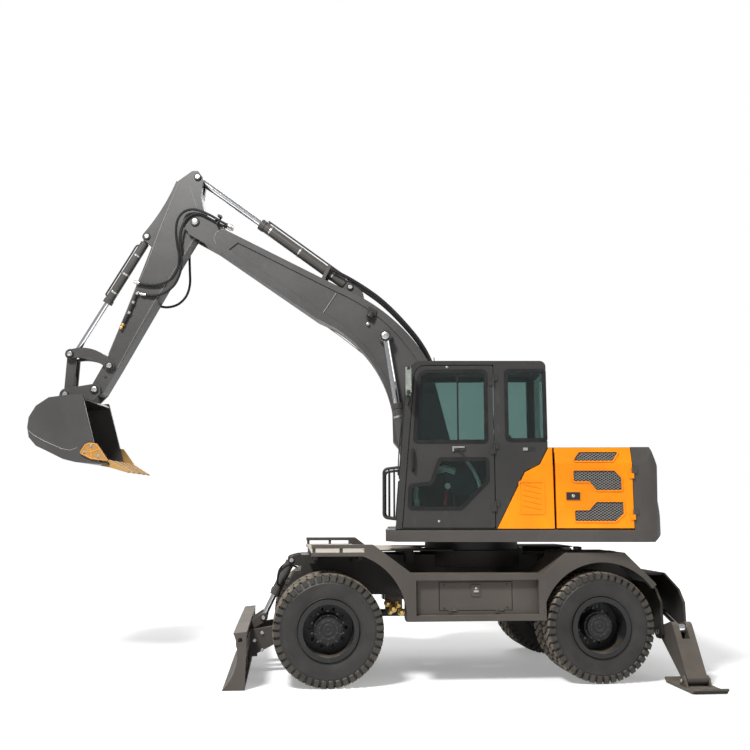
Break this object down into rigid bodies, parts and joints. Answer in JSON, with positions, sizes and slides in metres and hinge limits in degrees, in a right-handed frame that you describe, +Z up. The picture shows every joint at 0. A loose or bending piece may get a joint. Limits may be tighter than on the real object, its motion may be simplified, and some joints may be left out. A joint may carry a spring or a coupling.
{
  "type": "wheeled excavator",
  "caption": "Wheeled excavator on twin tyres with a slewing cab, one-piece boom, arm, toothed bucket, dozer blade and outriggers, all moving on their joints",
  "frame": {"origin": "on the floor below the slewing axis, midway between the wheels' sides", "axes": "+X forward to the blade, +Y to the cab's side (left), +Z up; stored as parked, with the upper works slewed 7 degrees to the right and the bucket raised"},
  "size_m": [6.8231, 3.63, 5.56],
  "materials": {
    "paint_grey": "worn semi-gloss paint",
    "paint_yellow": "semi-gloss paint",
    "tyre_rubber": "dusty rubber",
    "rim_paint": "worn paint",
    "cast_parts": "painted casting",
    "machined_steel": "oiled steel",
    "rod_chrome": "hard chrome",
    "window_glass": "tinted glass",
    "tooth_paint": "worn paint on cast steel",
    "seat_cover": "woven cloth",
    "cab_plastic": "grained plastic",
    "black_rubber": "smooth rubber"
  },
  "bodies": {
    "chassis": {"chassis_frame": "paint_grey", "side_frames": "paint_grey", "front_axle": "cast_parts", "rear_axle": "cast_parts", "drivetrain": "cast_parts", "slew_ring": "machined_steel"},
    "locker_door_left": {"locker_door_left": "paint_grey"},
    "locker_door_right": {"locker_door_right": "paint_grey"},
    "knuckle_left": {"knuckle_left": "cast_parts"},
    "knuckle_right": {"knuckle_right": "cast_parts"},
    "tie_rod": {"tie_rod": "machined_steel"},
    "wheel_front_left": {"rim_front_left": "rim_paint", "tyres_front_left": "tyre_rubber"},
    "wheel_front_right": {"rim_front_right": "rim_paint", "tyres_front_right": "tyre_rubber"},
    "wheel_rear_left": {"rim_rear_left": "rim_paint", "tyres_rear_left": "tyre_rubber"},
    "wheel_rear_right": {"rim_rear_right": "rim_paint", "tyres_rear_right": "tyre_rubber"},
    "blade": {"blade": "paint_grey"},
    "blade_barrels": {"blade_barrels": "paint_grey"},
    "blade_rods": {"blade_rods": "rod_chrome"},
    "upper": {"upper_frame": "paint_grey", "counterweight": "paint_grey", "side_panels": "paint_yellow", "engine_block": "cast_parts", "fuel_tank": "paint_grey", "cab_frame": "paint_grey", "cab_glass": "window_glass", "console": "cab_plastic", "seat": "seat_cover", "handrails": "machined_steel"},
    "hood": {"hood": "paint_grey"},
    "engine_door_left": {"engine_door_left": "paint_yellow"},
    "engine_door_right": {"engine_door_right": "paint_yellow"},
    "cab_door": {"cab_door": "paint_grey", "cab_door_glass": "window_glass"},
    "boom": {"boom": "paint_grey", "boom_hoses": "black_rubber"},
    "boom_barrels": {"boom_barrels": "paint_grey"},
    "boom_rods": {"boom_rods": "rod_chrome"},
    "arm": {"arm": "paint_grey", "arm_pipes": "machined_steel"},
    "arm_barrel": {"arm_barrel": "paint_grey"},
    "arm_rod": {"arm_rod": "rod_chrome"},
    "bucket": {"bucket": "paint_grey", "bucket_teeth": "tooth_paint"},
    "bucket_barrel": {"bucket_barrel": "paint_grey"},
    "bucket_rod": {"bucket_rod": "rod_chrome"},
    "rocker": {"rocker": "paint_grey"},
    "link": {"link": "paint_grey"},
    "outrigger_leg_left": {"outrigger_leg_left": "paint_grey"},
    "outrigger_pad_left": {"outrigger_pad_left": "cast_parts"},
    "outrigger_barrel_left": {"outrigger_barrel_left": "paint_grey"},
    "outrigger_rod_left": {"outrigger_rod_left": "rod_chrome"},
    "outrigger_leg_right": {"outrigger_leg_right": "paint_grey"},
    "outrigger_pad_right": {"outrigger_pad_right": "cast_parts"},
    "outrigger_barrel_right": {"outrigger_barrel_right": "paint_grey"},
    "outrigger_rod_right": {"outrigger_rod_right": "rod_chrome"}
  },
  "joints": [
    {"name": "steer_left", "type": "hinge", "parent": "chassis", "child": "knuckle_left", "pos_m": [1.611, 0.7, 0.5275], "axis": [0, 0, 1], "range_deg": [-28, 28]},
    {"name": "steer_right", "type": "hinge", "parent": "chassis", "child": "knuckle_right", "pos_m": [1.611, -0.7, 0.5275], "axis": [0, 0, 1], "range_deg": [-29, 29]},
    {"name": "tie_rod_pivot", "type": "hinge", "parent": "knuckle_left", "child": "tie_rod", "pos_m": [1.341, 0.605, 0.3675], "axis": [0, 0, 1], "range_deg": [-34, 34]},
    {"name": "front_left_spin", "type": "hinge", "parent": "knuckle_left", "child": "wheel_front_left", "pos_m": [1.611, 0.95, 0.5275], "axis": [0, 1, 0], "continuous": true},
    {"name": "front_right_spin", "type": "hinge", "parent": "knuckle_right", "child": "wheel_front_right", "pos_m": [1.611, -0.95, 0.5275], "axis": [0, 1, 0], "continuous": true},
    {"name": "rear_left_spin", "type": "hinge", "parent": "chassis", "child": "wheel_rear_left", "pos_m": [-1.03, 0.95, 0.5275], "axis": [0, 1, 0], "continuous": true},
    {"name": "rear_right_spin", "type": "hinge", "parent": "chassis", "child": "wheel_rear_right", "pos_m": [-1.03, -0.95, 0.5275], "axis": [0, 1, 0], "continuous": true},
    {"name": "slew", "type": "hinge", "parent": "chassis", "child": "upper", "pos_m": [0, 0, 1.29], "axis": [0, 0, 1], "continuous": true},
    {"name": "boom_lift", "type": "hinge", "parent": "upper", "child": "boom", "pos_m": [0.19851, -0.02437, 1.8], "axis": [-0.1219, -0.9925, 0], "range_deg": [-76, 14]},
    {"name": "boom_barrel_pivot", "type": "hinge", "parent": "upper", "child": "boom_barrels", "pos_m": [0.5856, -0.0719, 1.5], "axis": [0.1219, 0.9925, 0], "range_deg": [-14.9, 78.9]},
    {"name": "boom_rod_slide", "type": "slide", "parent": "boom_barrels", "child": "boom_rods", "axis": [0.1617, -0.0199, 0.9866], "range_m": [-0.6329, 0.1182]},
    {"name": "arm_curl", "type": "hinge", "parent": "boom", "child": "arm", "pos_m": [3.09476, -0.37999, 4.93], "axis": [0.1219, 0.9925, 0], "range_deg": [-88, 34]},
    {"name": "arm_barrel_pivot", "type": "hinge", "parent": "boom", "child": "arm_barrel", "pos_m": [1.32505, -0.1627, 4.167], "axis": [0.1219, 0.9925, 0], "range_deg": [-2.8, 1.4]},
    {"name": "arm_rod_slide", "type": "slide", "parent": "arm_barrel", "child": "arm_rod", "axis": [0.7976, -0.0979, 0.5951], "range_m": [-0.6194, 0.2406]},
    {"name": "bucket_curl", "type": "hinge", "parent": "arm", "child": "bucket", "pos_m": [4.16274, -0.51112, 2.989], "axis": [0.1219, 0.9925, 0], "range_deg": [-105, 22]},
    {"name": "rocker_pivot", "type": "hinge", "parent": "arm", "child": "rocker", "pos_m": [4.01485, -0.49296, 3.263], "axis": [0.1219, 0.9925, 0], "range_deg": [-74, 17]},
    {"name": "link_pivot", "type": "hinge", "parent": "rocker", "child": "link", "pos_m": [4.46646, -0.54841, 3.4], "axis": [0.1219, 0.9925, 0], "range_deg": [-13, 59]},
    {"name": "bucket_barrel_pivot", "type": "hinge", "parent": "arm", "child": "bucket_barrel", "pos_m": [3.66547, -0.45006, 4.788], "axis": [0.1219, 0.9925, 0], "range_deg": [-1.9, 7.3]},
    {"name": "bucket_rod_slide", "type": "slide", "parent": "bucket_barrel", "child": "bucket_rod", "axis": [0.4989, -0.0613, -0.8645], "range_m": [-0.5083, 0.1081]},
    {"name": "blade_lift", "type": "hinge", "parent": "chassis", "child": "blade", "pos_m": [1.93, 0, 0.45], "axis": [0, -1, 0], "range_deg": [-12, 28]},
    {"name": "blade_barrel_pivot", "type": "hinge", "parent": "chassis", "child": "blade_barrels", "pos_m": [1.96, 0, 1.13], "axis": [0, 1, 0], "range_deg": [-0.6, 0.8]},
    {"name": "blade_rod_slide", "type": "slide", "parent": "blade_barrels", "child": "blade_rods", "axis": [0.438, 0, -0.899], "range_m": [-0.157, 0.0684]},
    {"name": "outrigger_left", "type": "hinge", "parent": "chassis", "child": "outrigger_leg_left", "pos_m": [-1.83, 0.96, 0.45], "axis": [1, 0, 0], "range_deg": [-8, 110]},
    {"name": "outrigger_pad_left", "type": "hinge", "parent": "outrigger_leg_left", "child": "outrigger_pad_left", "pos_m": [-1.83, 1.48, 0.073], "axis": [1, 0, 0], "range_deg": [-10, 30]},
    {"name": "outrigger_barrel_pivot_left", "type": "hinge", "parent": "chassis", "child": "outrigger_barrel_left", "pos_m": [-1.83, 0.3, 0.77], "axis": [1, 0, 0], "range_deg": [-1.2, 9.8]},
    {"name": "outrigger_rod_slide_left", "type": "slide", "parent": "outrigger_barrel_left", "child": "outrigger_rod_left", "axis": [0, 0.9599, -0.2804], "range_m": [-0.391, 0.0303]},
    {"name": "outrigger_right", "type": "hinge", "parent": "chassis", "child": "outrigger_leg_right", "pos_m": [-1.83, -0.96, 0.45], "axis": [-1, 0, 0], "range_deg": [-8, 110]},
    {"name": "outrigger_pad_right", "type": "hinge", "parent": "outrigger_leg_right", "child": "outrigger_pad_right", "pos_m": [-1.83, -1.48, 0.073], "axis": [-1, 0, 0], "range_deg": [-10, 30]},
    {"name": "outrigger_barrel_pivot_right", "type": "hinge", "parent": "chassis", "child": "outrigger_barrel_right", "pos_m": [-1.83, -0.3, 0.77], "axis": [-1, 0, 0], "range_deg": [-1.2, 9.8]},
    {"name": "outrigger_rod_slide_right", "type": "slide", "parent": "outrigger_barrel_right", "child": "outrigger_rod_right", "axis": [0, -0.9599, -0.2804], "range_m": [-0.391, 0.0303]},
    {"name": "cab_door_hinge", "type": "hinge", "parent": "upper", "child": "cab_door", "pos_m": [-0.01352, 1.19455, 2.28], "axis": [0, 0, 1], "range_deg": [0, 110]},
    {"name": "engine_door_hinge_left", "type": "hinge", "parent": "upper", "child": "engine_door_left", "pos_m": [-1.34949, 1.35859, 1.87], "axis": [0, 0, 1], "range_deg": [0, 95]},
    {"name": "engine_door_hinge_right", "type": "hinge", "parent": "upper", "child": "engine_door_right", "pos_m": [-1.63808, -0.99176, 1.87], "axis": [0, 0, -1], "range_deg": [0, 95]},
    {"name": "hood_hinge", "type": "hinge", "parent": "upper", "child": "hood", "pos_m": [-0.69478, 0.08531, 2.271], "axis": [0.1219, 0.9925, 0], "range_deg": [0, 55]},
    {"name": "locker_hinge_left", "type": "hinge", "parent": "chassis", "child": "locker_door_left", "pos_m": [0.1875, 1.157, 0.695], "axis": [-1, 0, 0], "range_deg": [0, 85]},
    {"name": "locker_hinge_right", "type": "hinge", "parent": "chassis", "child": "locker_door_right", "pos_m": [0.1875, -1.157, 0.695], "axis": [1, 0, 0], "range_deg": [0, 85]}
  ],
  "couplings": [
    {"joint": "steer_right", "follows": "steer_left", "ratio": 1},
    {"joint": "tie_rod_pivot", "follows": "steer_left", "ratio": -1.1475},
    {"joint": "boom_barrel_pivot", "follows": "boom_lift", "ratio": -1.0312},
    {"joint": "boom_rod_slide", "follows": "boom_lift", "m_per_rad": 0.4756},
    {"joint": "arm_barrel_pivot", "follows": "arm_curl", "ratio": 0.0264},
    {"joint": "arm_rod_slide", "follows": "arm_curl", "m_per_rad": 0.402},
    {"joint": "rocker_pivot", "follows": "bucket_curl", "ratio": 0.691},
    {"joint": "link_pivot", "follows": "bucket_curl", "ratio": -0.5454},
    {"joint": "bucket_barrel_pivot", "follows": "bucket_curl", "ratio": -0.0647},
    {"joint": "bucket_rod_slide", "follows": "bucket_curl", "m_per_rad": 0.2763},
    {"joint": "blade_barrel_pivot", "follows": "blade_lift", "ratio": 0.0094},
    {"joint": "blade_rod_slide", "follows": "blade_lift", "m_per_rad": -0.3171},
    {"joint": "outrigger_barrel_pivot_left", "follows": "outrigger_left", "ratio": 0.0841},
    {"joint": "outrigger_rod_slide_left", "follows": "outrigger_left", "m_per_rad": -0.2026},
    {"joint": "outrigger_barrel_pivot_right", "follows": "outrigger_right", "ratio": 0.0841},
    {"joint": "outrigger_rod_slide_right", "follows": "outrigger_right", "m_per_rad": -0.2026}
  ]
}
